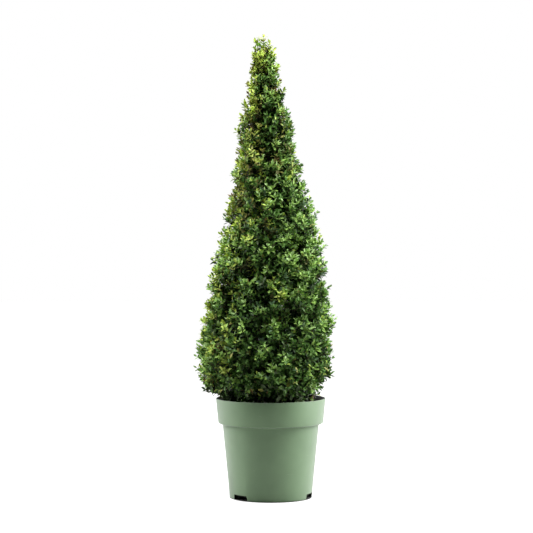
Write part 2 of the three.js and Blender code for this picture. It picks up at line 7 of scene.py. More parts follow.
import bpy
import numpy as np
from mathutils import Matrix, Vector

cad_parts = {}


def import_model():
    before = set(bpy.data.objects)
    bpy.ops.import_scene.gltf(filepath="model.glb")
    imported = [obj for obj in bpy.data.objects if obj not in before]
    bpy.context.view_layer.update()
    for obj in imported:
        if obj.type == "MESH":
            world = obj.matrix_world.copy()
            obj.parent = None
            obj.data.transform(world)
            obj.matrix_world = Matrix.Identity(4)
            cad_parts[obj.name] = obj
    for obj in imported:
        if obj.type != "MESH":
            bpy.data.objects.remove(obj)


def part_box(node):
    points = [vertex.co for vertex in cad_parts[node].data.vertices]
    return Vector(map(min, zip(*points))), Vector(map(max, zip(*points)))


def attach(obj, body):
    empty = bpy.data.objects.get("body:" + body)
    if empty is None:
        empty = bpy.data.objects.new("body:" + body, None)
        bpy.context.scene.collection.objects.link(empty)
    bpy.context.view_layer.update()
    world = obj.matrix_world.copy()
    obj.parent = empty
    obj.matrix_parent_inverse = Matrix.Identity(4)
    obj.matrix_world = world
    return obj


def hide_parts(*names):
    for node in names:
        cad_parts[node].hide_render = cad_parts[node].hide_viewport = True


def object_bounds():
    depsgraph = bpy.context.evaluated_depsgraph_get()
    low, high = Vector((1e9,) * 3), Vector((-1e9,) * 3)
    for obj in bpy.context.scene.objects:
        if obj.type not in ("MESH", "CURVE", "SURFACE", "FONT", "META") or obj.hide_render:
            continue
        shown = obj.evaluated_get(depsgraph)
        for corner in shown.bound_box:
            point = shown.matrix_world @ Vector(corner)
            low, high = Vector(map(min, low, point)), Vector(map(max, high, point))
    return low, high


SEED = 20417
GOLDEN_ANGLE = math.pi * (3 - math.sqrt(5))
UP = np.array([0.0, 0.0, 1.0])

# The crown's outline, where the leaf tips reach: (radius, height) from the middle of its underside,
# out over the pot's rim, round the shoulder and up to the tip
OUTLINE = [
    (0, 0.25), (0.084, 0.252), (0.132, 0.264), (0.164, 0.294), (0.188, 0.33), (0.194, 0.375),
    (0.19, 0.44), (0.173, 0.53), (0.158, 0.635), (0.131, 0.75), (0.102, 0.86), (0.082, 0.975),
    (0.057, 1.09), (0.042, 1.165), (0.029, 1.228), (0.008, 1.258),
]
BUMP = 0.006  # how far the clipped surface swells and sinks
SWELL_FADE = 0.060  # the swells fade out where the crown is narrower than this radius
# Long low swells over the surface: (how many round the crown, height to a radian, phase)
ROLLS = [(3, 0.061, 0), (5, -0.037, 0), (2, 0.097, 1.3)]
TIP_SHARE = 0.014  # added to the radius where shoots are spread, so that the tip gets its share
# The line up the middle of the crown: (height, sideways x, sideways y)
LEAN = [
    (0.25, -0.014, 0), (0.37, -0.017, 0.003), (0.5, -0.008, 0.003), (0.64, 0, 0.002),
    (0.78, -0.001, -0.003), (0.9, -0.011, -0.004), (1.04, -0.013, -0.002), (1.15, -0.019, 0),
    (1.258, -0.02, 0.002),
]

# Where the clipping was uneven: (height, degrees from +X, how far out, half the height that it spreads over)
BULGES = [
    (1.02, 0, 0.01, 0.05), (1.01, 180, 0.008, 0.045), (0.925, 0, 0.01, 0.03), (0.9, 180, 0.006, 0.03),
    (0.82, 0, 0.016, 0.012), (0.81, 180, 0.009, 0.02), (0.775, 0, 0.006, 0.016), (0.7, 0, 0.008, 0.05),
    (0.61, 0, -0.024, 0.014), (0.645, 180, 0.007, 0.018), (0.555, 180, 0.006, 0.025),
    (0.478, 180, 0.013, 0.018), (0.42, 180, 0.008, 0.022), (0.385, 180, 0.009, 0.016),
    (0.368, 0, 0.012, 0.022), (0.306, 0, 0.022, 0.018), (0.3, 180, 0.008, 0.018),
]

# Tiers of foliage and their shoots: the solids' counts, and how many fine shoots stand for each of those
TIERS = ["skirt", "lower", "upper", "tip"]
TIER_EDGES = [0.478, 0.700, 0.925]
CORE_TOP = 1.182
SHOOTS_TOP = 1.234
SHOOTS_PER_TIER = [56, 42, 32, 22]
FINER = 27
INNER = 12  # darker shoots that fill the crown behind those, for each of the solids' shoots: a dark fill of painted shade inside the crown
FIRST_SHARE = 0.06  # nearer the underside's middle it is bare
SHOOT_RISE = 0.90  # how much the shoots turn up from the surface's normal
# Shoots that have outgrown the clipping: (height, degrees from +X, how far past the outline)
STRAYS = [
    (0.352, -178, 0.014), (0.405, 172, 0.01), (0.345, -8, 0.003), (0.64, -14, 0.012), (0.94, -6, 0.01),
    (0.768, 8, 0.017), (0.822, -22, 0.015), (0.372, -52, 0.008), (0.9, 118, 0.012), (0.56, 74, 0.012),
    (0.283, -94, 0.002), (0.281, -104, 0.002), (0.282, -114, 0.002), (0.284, -125, 0.002),
]
# Shoots that make the tip, round the leader: the place of each one's end
LEADERS = [
    (-0.041, 0, 1.243), (-0.037, -0.007, 1.234), (-0.042, 0.007, 1.224), (-0.031, 0.002, 1.25),
    (-0.02, 0, 1.254), (-0.015, -0.006, 1.246), (-0.01, 0.005, 1.242), (-0.004, -0.006, 1.238),
    (0.008, -0.002, 1.222), (-0.014, -0.013, 1.229), (-0.002, 0.004, 1.226), (-0.024, 0.014, 1.23),
    (0.003, -0.004, 1.214), (-0.045, -0.003, 1.208), (-0.034, -0.014, 1.214), (-0.018, 0.016, 1.216),
    (-0.004, 0.014, 1.21), (-0.02, -0.018, 1.212),
]

# Leaves and twigs, life size
LEAF_LENGTH = 0.0168
LEAF_WIDTH_SHARE = 0.46
INNER_LEAF_SIZE = 1.25  # of the hidden sprays' leaves, against the others
PROUD = 0.006  # how far the topmost leaves may stand above the solids' box
PAIRS = 8
PAIR_GAP = 0.0066
TIP_SPREAD = 24  # degrees off the twig, of the last pair of leaves
OLD_SPREAD = 74  # the same, of the oldest pairs
HUB_DEPTH = 0.056  # how deep under the outline the fine shoots part
HUB_SPACING = 0.041
PIT_DEPTHS = (0.014, 0.040)  # how deep the sprays lie that leave the dark holes
LEVEL_DEPTHS = (-0.003, 0.005)  # how deep the others lie
CLUMP_PULL = 0.2  # how far a spray's shoots are drawn together, as a share of their distance from its middle
CLUMP_DOME = 0.015  # how much lower a spray's edge lies than its middle
MOST_DROP = 0.040
FULL_RADIUS = 0.13  # nearer the crown's middle than this, sprays are sunk less
TUFT_SIZE = 0.019  # shoots that end this near to each other are mostly of one kind
TUFT = 0.75  # how much fresher and lighter the shoots at the middle of a spray are than those at its edge: partly fresh growth at its middle, partly painted shade at its edge
TWIG_RADIUS = 0.0011
TWIG_SIDES = 3
TWIG_STEPS = np.linspace(0, 1, 7)  # the points along a twig, as shares of its curve
BOUGHS = 88
BOUGH_RADIUS = 0.0042
BOUGH_HEIGHTS = (0.31, 1.19)  # where on the outline the lowest and the highest bough head
STRAY_SHOOTS = 5  # in each tuft of those that have outgrown the clipping


def mix(a, b, t):
    return a + (b - a) * t


def smoothstep(x, low, high):
    t = np.clip((x - low) / (high - low), 0, 1)
    return t * t * (3 - 2 * t)


def unit(v):
    return v / np.maximum(np.linalg.norm(v, axis=-1, keepdims=True), 1e-9)


def gaps(a, b):
    """The distance between each two points, as a column."""
    return np.linalg.norm(b - a, axis=1)[:, None]


def around(count):
    """Evenly spaced angles, once round."""
    return np.arange(count) * 2 * math.pi / count


def on_ring(radius, angle, z):
    return np.stack([radius * np.cos(angle), radius * np.sin(angle), z + 0 * angle], axis=-1)


def smooth_line(knots, steps=40):
    """Points along a smooth curve through the knots."""
    knots = np.array(knots, float)
    p = np.vstack([2 * knots[0] - knots[1], knots, 2 * knots[-1] - knots[-2]])
    t = np.linspace(0, 1, steps, endpoint=False)[:, None]
    spans = [
        b + (c - a) * t / 2 + (2 * a - 5 * b + 4 * c - d) * t**2 / 2 + (3 * b - a - 3 * c + d) * t**3 / 2
        for a, b, c, d in zip(p, p[1:], p[2:], p[3:])
    ]
    return np.vstack([*spans, knots[-1:]])


def evenly(line, count):
    """The same line as evenly spaced points."""
    run = np.concatenate([[0], np.cumsum(np.linalg.norm(np.diff(line, axis=0), axis=1))])
    at = np.linspace(0, run[-1], count)
    return np.stack([np.interp(at, run, line[:, k]) for k in range(line.shape[1])], axis=1)


OUTLINE_POINTS = evenly(smooth_line(OUTLINE), 401)
OUTLINE_SHARES = np.linspace(0, 1, len(OUTLINE_POINTS))
LEAN_POINTS = smooth_line(LEAN)


def outline(share):
    """Radius and height of the outline, by a share of its length from the underside's middle to the tip."""
    r, z = (np.interp(share, OUTLINE_SHARES, OUTLINE_POINTS[:, k]) for k in (0, 1))
    return np.maximum(r, 0), z


def outline_normal(share):
    r0, z0 = outline(share - 0.01)
    r1, z1 = outline(share + 0.01)
    n = unit(np.stack([z1 - z0, r0 - r1], axis=-1))
    return n[..., 0], n[..., 1]


def flank_share(height):
    """The share at which the outline's flank passes a height."""
    flank = len(OUTLINE_POINTS) // 5
    return np.interp(height, OUTLINE_POINTS[flank:, 1], OUTLINE_SHARES[flank:])


def crown_middle(z):
    x, y = (np.interp(z, LEAN_POINTS[:, 0], LEAN_POINTS[:, k]) for k in (1, 2))
    return np.stack([x, y, z + 0 * x], axis=-1)


def swell(angle, z):
    """How much the clipped surface stands out at an angle and height."""
    total = BUMP / 2 * sum(np.sin(count * angle + z / run + phase) for count, run, phase in ROLLS)
    for height, degrees, out, half in BULGES:
        facing = np.maximum(0, np.cos(angle - math.radians(degrees)))
        total = total + out * np.exp(-(((z - height) / half) ** 2)) * facing**2
    return total


def crown_point(share, angle, depth):
    """A point at a depth under the outline."""
    r, z = outline(share)
    nr, nz = outline_normal(share)
    out = np.maximum(0, r - nr * depth + np.minimum(1, r / SWELL_FADE) * swell(angle, z))
    return crown_middle(z - nz * depth) + on_ring(out, angle, 0)


def crown_normal(share, angle):
    nr, nz = outline_normal(share)
    return on_ring(nr, angle, nz)


def strips(low, high):
    """Shares of the outline, and the middle radius and the length of each strip between two of them."""
    steps = np.linspace(low, high, 200)
    r, z = outline(steps)
    return steps, (r[1:] + r[:-1]) / 2, np.hypot(np.diff(r), np.diff(z))


def spread_shares(low, high, count):
    """Shares of the outline, evenly spread over that part of the surface."""
    steps, radii, lengths = strips(low, high)
    areas = np.concatenate([[0], np.cumsum((TIP_SHARE + radii) * lengths)])
    return np.interp((np.arange(count) + 0.5) / count * areas[-1], areas, steps)


def waves(points, length, seed):
    """A smooth random field between about -1 and 1, with swells of about that length."""
    rng = np.random.default_rng(seed)
    turns = unit(rng.normal(size=(9, 3))) * rng.uniform(0.7, 1.5, (9, 1)) * 2 * math.pi / length
    phases = rng.uniform(0, 2 * math.pi, 9)
    return np.sin(points @ turns.T + phases).sum(axis=-1) / 3


# Limbs


def box_size(node):
    return np.array(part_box(node))


def heights(node):
    return box_size(node)[:, 2]


def bezier(start, bend, end, t):
    """Points along curves from start to end that bend towards a third point, a row for each curve."""
    t = np.broadcast_to(t, (len(start), np.shape(t)[-1]))[..., None]
    return (1 - t) ** 2 * start[:, None] + 2 * t * (1 - t) * bend[:, None] + t**2 * end[:, None]


def frames(paths):
    """Unit vectors along each path, and two square to it, at each of its points."""
    along = unit(np.gradient(paths, axis=1))
    whole = unit(paths[:, -1] - paths[:, 0])
    steep = np.abs(whole[:, 2:]) > 0.9
    side = np.cross(whole, np.where(steep, np.array([1.0, 0, 0]), UP))[:, None]
    side = unit(side - (side * along).sum(-1, keepdims=True) * along)
    return along, side, np.cross(along, side)


def wall_faces(rings, sides):
    """Triangles of a wall whose points come ring by ring."""
    k, i = np.meshgrid(np.arange(rings - 1), np.arange(sides), indexing="ij")
    a, b = k * sides + i, k * sides + (i + 1) % sides
    return np.stack([a, b, a + sides, b, b + sides, a + sides], axis=-1).reshape(-1, 3)


def fans(count):
    """Triangles of a fan over a ring of points, seen from behind and from in front."""
    k = np.arange(1, count - 1)
    return np.stack([0 * k, k + 1, k], axis=-1), np.stack([0 * k, k, k + 1], axis=-1)


def copies(faces, count, step):
    """The same triangles for each of many alike sets of points, with so many points a set."""
    return (faces[None] + (np.arange(count) * step)[:, None, None]).reshape(-1, 3)


def tubes(paths, radii, sides, relief=0):
    """Vertices and triangles of a closed tapering tube round each path. relief is added to the radii."""
    count, rings = paths.shape[:2]
    _, side, other = frames(paths)
    turn = around(sides)
    reach = np.broadcast_to(radii[..., None] + relief, (count, rings, sides))[..., None]
    ring = np.cos(turn)[:, None] * side[:, :, None] + np.sin(turn)[:, None] * other[:, :, None]
    points = (paths[:, :, None] + reach * ring).reshape(-1, 3)
    foot, head = fans(sides)
    one = np.vstack([wall_faces(rings, sides), foot, head + (rings - 1) * sides])
    return points, copies(one, count, rings * sides), len(one)


def new_object(name, data):
    made = bpy.data.objects.new(name, data)
    bpy.context.scene.collection.objects.link(made)
    return made


def mesh_piece(name, points, faces, materials, slots=None):
    """An object from points, triangles, its materials and the slot of each triangle."""
    mesh = bpy.data.meshes.new(name)
    mesh.vertices.add(len(points))
    mesh.vertices.foreach_set("co", np.ascontiguousarray(points, np.float32).ravel())
    mesh.loops.add(faces.size)
    mesh.loops.foreach_set("vertex_index", np.ascontiguousarray(faces, np.int32).ravel())
    mesh.polygons.add(len(faces))
    mesh.polygons.foreach_set("loop_start", np.arange(0, faces.size, 3, dtype=np.int32))
    mesh.polygons.foreach_set("use_smooth", np.ones(len(faces), bool))
    for material in materials:
        mesh.materials.append(material)
    if slots is not None:
        mesh.polygons.foreach_set("material_index", np.ascontiguousarray(slots, np.int32))
    mesh.update(calc_edges=True)
    mesh.validate()
    return new_object(name, mesh)


# Materials


def set_inputs(node, values):
    for name, value in values.items():
        node.inputs[name].default_value = value


def new_material(name, colour, roughness, specular=0.5):
    material = bpy.data.materials.new(name)
    material.use_nodes = True
    looks = {"Base Color": (*colour, 1), "Roughness": roughness, "Specular IOR Level": specular}
    set_inputs(material.node_tree.nodes["Principled BSDF"], looks)
    material.diffuse_color = (*colour, 1)
    return material


class Nodes:
    """Short calls for one material's nodes."""

    def __init__(self, material):
        self.tree = material.node_tree
        self.shader = self.tree.nodes["Principled BSDF"]
        self.place = self.add("TexCoord").outputs["Object"]

    def add(self, kind, **values):
        node = self.tree.nodes.new("ShaderNode" + kind)
        for name, value in values.items():
            setattr(node, name, value)
        return node

    def link(self, a, b):
        self.tree.links.new(a, b)

    def shade(self, name, value):
        """Gives one of the shader's inputs its value from a node."""
        self.link(value, self.shader.inputs[name])

    def stretched(self, scale):
        mapping = self.add("Mapping")
        set_inputs(mapping, {"Scale": scale})
        self.link(self.place, mapping.inputs["Vector"])
        return mapping.outputs["Vector"]

    def noise(self, scale, detail=4.0, rough=0.55, place=None):
        node = self.add("TexNoise")
        set_inputs(node, {"Scale": scale, "Detail": detail, "Roughness": rough})
        self.link(place or self.place, node.inputs["Vector"])
        return node.outputs["Fac"]

    def ramp(self, value, *stops):
        """A colour ramp of (position, colour) stops."""
        node = self.add("ValToRGB")
        elements = node.color_ramp.elements
        while len(elements) < len(stops):
            elements.new(0.5)
        for element, (position, colour) in zip(elements, stops):
            element.position = position
            element.color = (*colour, 1) if np.ndim(colour) else (colour, colour, colour, 1)
        self.link(value, node.inputs["Fac"])
        return node.outputs["Color"]

    def blend(self, amount, a, b):
        """Colour b over colour a, by an amount from 0 to 1."""
        node = self.add("Mix", data_type="RGBA")
        for socket, value in ((node.inputs[0], amount), (node.inputs[6], a), (node.inputs[7], b)):
            if isinstance(value, bpy.types.NodeSocket):
                self.link(value, socket)
            else:
                socket.default_value = value if np.isscalar(value) else (*value, 1)
        return node.outputs[2]

    def bump(self, height, strength, distance):
        node = self.add("Bump")
        set_inputs(node, {"Strength": strength, "Distance": distance})
        self.link(height, node.inputs["Height"])
        self.shade("Normal", node.outputs["Normal"])


def pot_plastic():
    """Sage green moulded plastic: faint mottling, scuffs that run round it, and darker upright marks."""
    material = new_material("pot_green", (0.147, 0.255, 0.119), 0.44, 0.65)
    n = Nodes(material)
    set_inputs(n.shader, {"Coat Weight": 0.15, "Coat Roughness": 0.35})
    set_inputs(n.shader, {"Sheen Weight": 0.65, "Sheen Roughness": 0.5})
    mottle = n.ramp(n.noise(9, 3), (0.3, (0.134, 0.240, 0.109)), (0.7, (0.167, 0.287, 0.136)))
    scuffs = n.ramp(n.noise(70, 6, 0.7, n.stretched((0.35, 0.35, 2.2))), (0.66, 0.0), (0.74, 1.0))
    worn = n.blend(scuffs, mottle, (0.25, 0.35, 0.22))
    marks = n.ramp(n.noise(30, 8, 0.75, n.stretched((1, 1, 0.25))), (0.68, 0.0), (0.78, 0.7))
    n.shade("Base Color", n.blend(marks, worn, (0.13, 0.21, 0.11)))
    n.shade("Roughness", n.ramp(n.noise(40, 5), (0.3, 0.38), (0.7, 0.50)))
    n.bump(n.noise(900, 2), 0.12, 0.0003)
    return material


def black_plastic():
    material = new_material("pot_black", (0.012, 0.013, 0.012), 0.5)
    n = Nodes(material)
    dust = n.ramp(n.noise(60, 6, 0.7), (0.5, (0.010, 0.011, 0.010)), (0.8, (0.035, 0.032, 0.027)))
    n.shade("Base Color", dust)
    n.bump(n.noise(500, 3), 0.2, 0.0003)
    return material


def peat():
    material = new_material("peat", (0.03, 0.022, 0.016), 0.95, 0.2)
    n = Nodes(material)
    fine = n.noise(180, 8, 0.7)
    wet, brown, dry = (0.008, 0.006, 0.004), (0.030, 0.021, 0.014), (0.085, 0.060, 0.038)
    n.shade("Base Color", n.ramp(fine, (0.3, wet), (0.55, brown), (0.8, dry)))
    n.bump(fine, 0.9, 0.002)
    return material


def bark():
    """Grey-tan bark in fine upright plates, with darker furrows and a grey bloom."""
    material = new_material("bark", (0.2, 0.15, 0.1), 0.85, 0.3)
    n = Nodes(material)
    plates = n.noise(120, 6, 0.65, n.stretched((1, 1, 0.22)))
    furrow, tan, pale = (0.045, 0.032, 0.022), (0.170, 0.125, 0.082), (0.330, 0.275, 0.200)
    colour = n.ramp(plates, (0.32, furrow), (0.5, tan), (0.72, pale))
    bloom = n.ramp(n.noise(35, 4), (0.55, 0.0), (0.72, 0.6))
    n.shade("Base Color", n.blend(bloom, colour, (0.30, 0.31, 0.25)))
    n.bump(plates, 0.8, 0.002)
    return material


# Plain leaf colours, dealt out by spray
LEAF_COLOURS = {
    "shade": (0.008, 0.021, 0.004),
    "old": (0.019, 0.048, 0.008),
    "mature": (0.060, 0.132, 0.024),
    # cool grey-green: partly the leaves' own tone, partly a painted sheen on dark leaves
    "cool": (0.115, 0.200, 0.098),
    "mid": (0.168, 0.325, 0.084),
    "fresh": (0.310, 0.505, 0.115),
    # pale sage green: partly the leaves' own tone, partly a painted gloss highlight
    "sage": (0.440, 0.640, 0.255),
    "lime": (0.490, 0.620, 0.120),
    "pale_lime": (0.660, 0.780, 0.220),
    "olive": (0.330, 0.340, 0.085),
    "dull": (0.190, 0.195, 0.080),
    "bronze": (0.250, 0.165, 0.070),
    "underside": (0.180, 0.240, 0.130),
}
LEAF_NAMES = list(LEAF_COLOURS)
# How a spray is coloured, from its last pair of leaves inwards
SPRAYS = {
    "flush": "pale_lime lime pale_lime lime fresh mid mature old",
    # yellow spray: one inner pair is the lighter dull colour in place of a dark one, painted light for less
    # shade on the crown's left
    "yellow": "lime lime olive mid dull mature old old",
    # green spray: the first pair's pale sage green is partly a painted gloss highlight
    "green": "sage fresh fresh mid mature old old shade",
    "deep": "mid mature old mature old old shade shade",
    # grey spray: its cool grey-green pairs are partly a painted sheen
    "grey": "cool cool mature mature old old shade shade",
    "bronzed": "bronze olive dull bronze dull mature old old",
    # dull olive spray, on the upper left: its inner pairs are the lighter dull colour in place of dark ones,
    # painted light for less shade there
    "olive_and_painted_light": "olive olive dull olive dull dull mature old",
    # tip spray: its older pairs are light too, painted backlight, as if light shone through the tip's thin
    # leaves
    "crest_painted_backlight": "lime lime olive fresh mid fresh dull mid",
    # hem spray, under the crown's lower edge: dark colours that are painted shade
    "hem": "mature old underside old shade shade shade shade",
    # inner spray, the fill inside the crown: dark colours that are painted shade
    "inner": "mature old old old shade shade shade shade",
}
SPRAY_NAMES = list(SPRAYS)
TWIG_COLOURS = {
    "young": (0.150, 0.190, 0.050),
    "brown": (0.110, 0.085, 0.045),
    "dark": (0.045, 0.035, 0.022),
}
LEAF_SHINE = 0.11
MIXED_LEAVES = 0.10  # the share of leaves that take another kind's colour, except at the tip


def leaf_materials():
    made = []
    for name, colour in LEAF_COLOURS.items():
        rough = 0.5 if name in ("lime", "pale_lime", "underside") else 0.42
        made.append(new_material("leaf_" + name, colour, rough, LEAF_SHINE))
    return made


def twig_materials():
    return [new_material("twig_" + name, colour, 0.7, 0.3) for name, colour in TWIG_COLOURS.items()]


# Pot

POT_SEGMENTS = 160
WALL = 0.003
LIP_ROUND = 0.0012
BAND_HEIGHT = 0.068
BAND_TAPER = 0.0065  # how much narrower the band is at its lower edge
BAND_STEP = 0.012  # from the band in to the body
FOOT_RADIUS = 0.112
FOOT_WIDTH = 0.010
CHANNEL_RADIUS = 0.062  # the raised drainage channel runs from here to the foot ring
CHANNEL_HEIGHT = 0.008
NOTCH_WIDTH = 0.050
NOTCH_HEIGHT = 0.0135
NOTCH_FLARE = 0.002
NOTCH_ANGLES = [-138, -18, 102]  # degrees from +X
DRAINS = 9
DRAIN_RADIUS = 0.007


def rounded(profile, radius, steps=3):
    """The profile with each corner between its ends cut to a small curve."""
    p = np.array(profile)
    made = [p[:1]]
    for before, corner, after in zip(p, p[1:], p[2:]):
        sides = (before - corner, after - corner)
        a, b = (corner + unit(v) * min(radius, 0.45 * np.linalg.norm(v)) for v in sides)
        t = np.linspace(0, 1, steps + 1)[:, None]
        made.append((1 - t) ** 2 * a + 2 * t * (1 - t) * corner + t**2 * b)
    return np.vstack([*made, p[-1:]])


def turned(profile, segments):
    """Points and triangles of a solid of revolution. Its (radius, height) pairs begin and end on the axis."""
    profile = np.array(profile)
    rings = on_ring(profile[1:-1, :1], around(segments), profile[1:-1, 1:])
    points = np.vstack([rings.reshape(-1, 3), [0, 0, profile[0, 1]], [0, 0, profile[-1, 1]]])
    i = np.arange(segments)
    j, last = (i + 1) % segments, (len(rings) - 1) * segments
    low, high = 0 * i + len(points) - 2, 0 * i + len(points) - 1
    foot, head = np.stack([low, j, i], -1), np.stack([high, last + i, last + j], -1)
    return points, np.vstack([wall_faces(len(rings), segments), foot, head])


def prism(outline_points, depth):
    """Points and triangles of a prism: an outline in its own plane, pushed along +X from 0 to depth."""
    flat = np.array(outline_points)
    count = len(flat)
    near = np.column_stack([np.zeros(count), flat])
    points = np.vstack([near, near + [depth, 0, 0]])
    i = np.arange(count)
    j = (i + 1) % count
    foot, head = fans(count)
    lower, upper = np.stack([i, j, i + count], -1), np.stack([j, j + count, i + count], -1)
    return points, np.vstack([lower, upper, foot, head + count])


def turned_by(points, degrees):
    c, s = math.cos(math.radians(degrees)), math.sin(math.radians(degrees))
    return points @ np.array([[c, s, 0], [-s, c, 0], [0, 0, 1]])


def pot_cutters(channel_outer):
    """The three notches at the foot and the drainage holes in the channel, as one mesh."""
    half, flared = NOTCH_WIDTH / 2, NOTCH_WIDTH / 2 + NOTCH_FLARE
    notch = [(-flared, -0.001), (flared, -0.001), (half, NOTCH_HEIGHT - 0.001), (half - 0.001, NOTCH_HEIGHT)]
    notch += [(0.001 - half, NOTCH_HEIGHT), (-half, NOTCH_HEIGHT - 0.001)]
    parts = []
    for degrees in NOTCH_ANGLES:
        points, faces = prism(notch, FOOT_WIDTH + 0.012)
        points = points + [channel_outer - 0.002, 0, 0]
        parts.append((turned_by(points, degrees), faces))
    hole = [(DRAIN_RADIUS * math.cos(a), DRAIN_RADIUS * math.sin(a)) for a in around(20)]
    for k in range(DRAINS):
        points, faces = prism(hole, 6 * WALL)
        upright = np.column_stack([-points[:, 2], points[:, 1], points[:, 0]])
        upright = upright + [(CHANNEL_RADIUS + channel_outer) / 2, 0, CHANNEL_HEIGHT - 3 * WALL]
        parts.append((turned_by(upright, (k + 0.5) * 360 / DRAINS), faces))
    return stacked(parts)


def stacked(parts):
    """Several (points, triangles) as one."""
    starts = np.cumsum([0] + [len(points) for points, _ in parts])
    faces = [f + start for (_, f), start in zip(parts, starts)]
    return np.vstack([points for points, _ in parts]), np.vstack(faces)


def cut(piece, cutter):
    """Cuts one mesh out of another for good, and deletes the cutter."""
    tool = piece.modifiers.new("cut", "BOOLEAN")
    tool.operation = "DIFFERENCE"
    tool.object = cutter
    tool.solver = "EXACT"
    whole = bpy.data.meshes.new_from_object(piece.evaluated_get(bpy.context.evaluated_depsgraph_get()))
    piece.modifiers.clear()
    piece.data = whole
    bpy.data.objects.remove(cutter)


def make_pot():
    low, high = box_size("pot")
    top, rim = high[2], (high[0] - low[0]) / 2
    band_low, band_foot = rim - BAND_TAPER, top - BAND_HEIGHT
    body_top = band_low - BAND_STEP
    channel_outer = FOOT_RADIUS - FOOT_WIDTH
    outside = [
        (0, 0), (CHANNEL_RADIUS, 0), (CHANNEL_RADIUS + 0.002, CHANNEL_HEIGHT),
        (channel_outer - 0.001, CHANNEL_HEIGHT), (channel_outer, 0), (FOOT_RADIUS, 0),
        (body_top, band_foot - 0.004), (body_top + 0.001, band_foot - 0.001),
        (band_low - 0.0015, band_foot), (band_low, band_foot + 0.002), (rim, top),
    ]
    plate = CHANNEL_HEIGHT + WALL
    inside = [
        (rim - WALL, top), (band_low - WALL, band_foot + 2 * WALL), (body_top - WALL, band_foot),
        (mix(FOOT_RADIUS, body_top, plate / band_foot) - WALL, plate),
        (CHANNEL_RADIUS, plate), (CHANNEL_RADIUS - WALL, WALL), (0, WALL),
    ]
    points, faces = turned(rounded(outside + inside, LIP_ROUND), POT_SEGMENTS)
    piece = mesh_piece("pot_shell", points, faces, [pot_plastic(), black_plastic()])
    cut(piece, mesh_piece("cutters", *pot_cutters(channel_outer), []))
    centres, normals = face_arrays(piece.data)
    r, z = np.hypot(centres[:, 0], centres[:, 1]), centres[:, 2]
    outer = np.interp(z, [0, band_foot - WALL, band_foot + WALL, top], [FOOT_RADIUS, body_top, band_low, rim])
    inside = (r < outer - 0.6 * WALL) & (z > plate - 0.001) & (normals[:, 2] > -0.99)
    # the notch walls and the channel's faces at the foot are black too: partly the pot's black inner plastic,
    # partly painted shade in the notches
    notches = (r < outer - 0.4 * WALL) & (z > 0.0005) & (z < NOTCH_HEIGHT + 0.001)
    black = inside | notches
    piece.data.polygons.foreach_set("material_index", black.astype(np.int32))
    piece.data.polygons.foreach_set("use_smooth", np.ones(len(black), bool))
    piece.data.set_sharp_from_angle(angle=math.radians(34))
    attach(piece, "root")
    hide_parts("pot")


def face_arrays(mesh):
    centres, normals = np.zeros((2, len(mesh.polygons) * 3))
    mesh.polygons.foreach_get("center", centres)
    mesh.polygons.foreach_get("normal", normals)
    return centres.reshape(-1, 3), normals.reshape(-1, 3)


# Soil

LUMPS = 900
LUMP_SIZE = 0.0032
LUMPS_REACH = 0.86  # how far out the lumps lie, as a share of the rim's radius
FIBRE_SHARE = 0.12  # of the lumps, how many are long like fibres
PEAT_SEGMENTS = 144
PEAT_STEP = 0.003  # between the rings of its top
PEAT_UNDER_BAND = [(0.128, 0.2025), (0.1402, 0.2085)]  # (radius, height) where it fills the wider band


def lump_shape():
    """A twelve-cornered lump about the origin, as points and triangles."""
    g = (1 + math.sqrt(5)) / 2
    pairs = [(s, t * g) for s in (-1, 1) for t in (-1, 1)]
    points = [(s, t, 0) for s, t in pairs] + [(0, s, t) for s, t in pairs] + [(t, 0, s) for s, t in pairs]
    points = np.array(points) / g
    faces = []
    for a, b, c in combinations(range(len(points)), 3):
        sides = [np.linalg.norm(points[p] - points[q]) for p, q in ((a, b), (b, c), (a, c))]
        if max(sides) < 2.1 / g:
            n = np.cross(points[b] - points[a], points[c] - points[a])
            faces.append((a, b, c) if n @ points[a] > 0 else (a, c, b))
    return points, np.array(faces)


def make_soil():
    """Crumbly peat: a rough top on the filled pot, with loose lumps and short fibres on it."""
    rng = np.random.default_rng(SEED + 1)
    low, high = box_size("soil")
    rim = high[0]
    floor = CHANNEL_HEIGHT + WALL + 0.0003
    foot = [(0, low[2]), (CHANNEL_RADIUS - WALL, low[2])]
    sides = [(CHANNEL_RADIUS, floor), (FOOT_RADIUS - WALL, floor), *PEAT_UNDER_BAND]
    top = [(r, high[2]) for r in np.arange(rim, 0.002, -PEAT_STEP)]
    points, faces = turned([*foot, *sides, *top, (0, high[2])], PEAT_SEGMENTS)
    on_top = points[:, 2] > high[2] - 1e-6
    rough = 0.0022 * waves(points, 0.034, 5) + 0.0012 * waves(points, 0.012, 6)
    points[:, 2] += np.where(on_top, rough - 0.001, 0)
    shape, shape_faces = lump_shape()
    parts = [(points, faces)]
    for _ in range(LUMPS):
        angle, r = rng.uniform(0, 2 * math.pi), LUMPS_REACH * rim * math.sqrt(rng.uniform(0.02, 1))
        size = LUMP_SIZE * rng.uniform(0.4, 1.5)
        long = 3.5 if rng.uniform() < FIBRE_SHARE else 1
        grown = shape * rng.uniform(0.6, 1.3, (12, 1)) * size * np.array([long, 1 / math.sqrt(long), 0.7])
        at = np.array([r * math.cos(angle), r * math.sin(angle), high[2] + 0.0005])
        parts.append((turned_by(grown, rng.uniform(0, 360)) + at, shape_faces))
    piece = mesh_piece("peat_bed", *stacked(parts), [peat()])
    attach(piece, "root")
    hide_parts("soil")


# Trunk, side stems and boughs

TRUNK_SIDES = 40
TRUNK_RADIUS = 0.013
TRUNK_TOP_RADIUS = 0.0024
TRUNK_FLARE = 0.013
FLARE_HEIGHT = 0.016
FLARE_LOBES = 5
LOBE_DEPTH = 0.28  # of the flare
KNOT_HEIGHT = 0.0012
SIDE_STEM_SIDES = 20
SIDE_STEM_TOP = 0.298
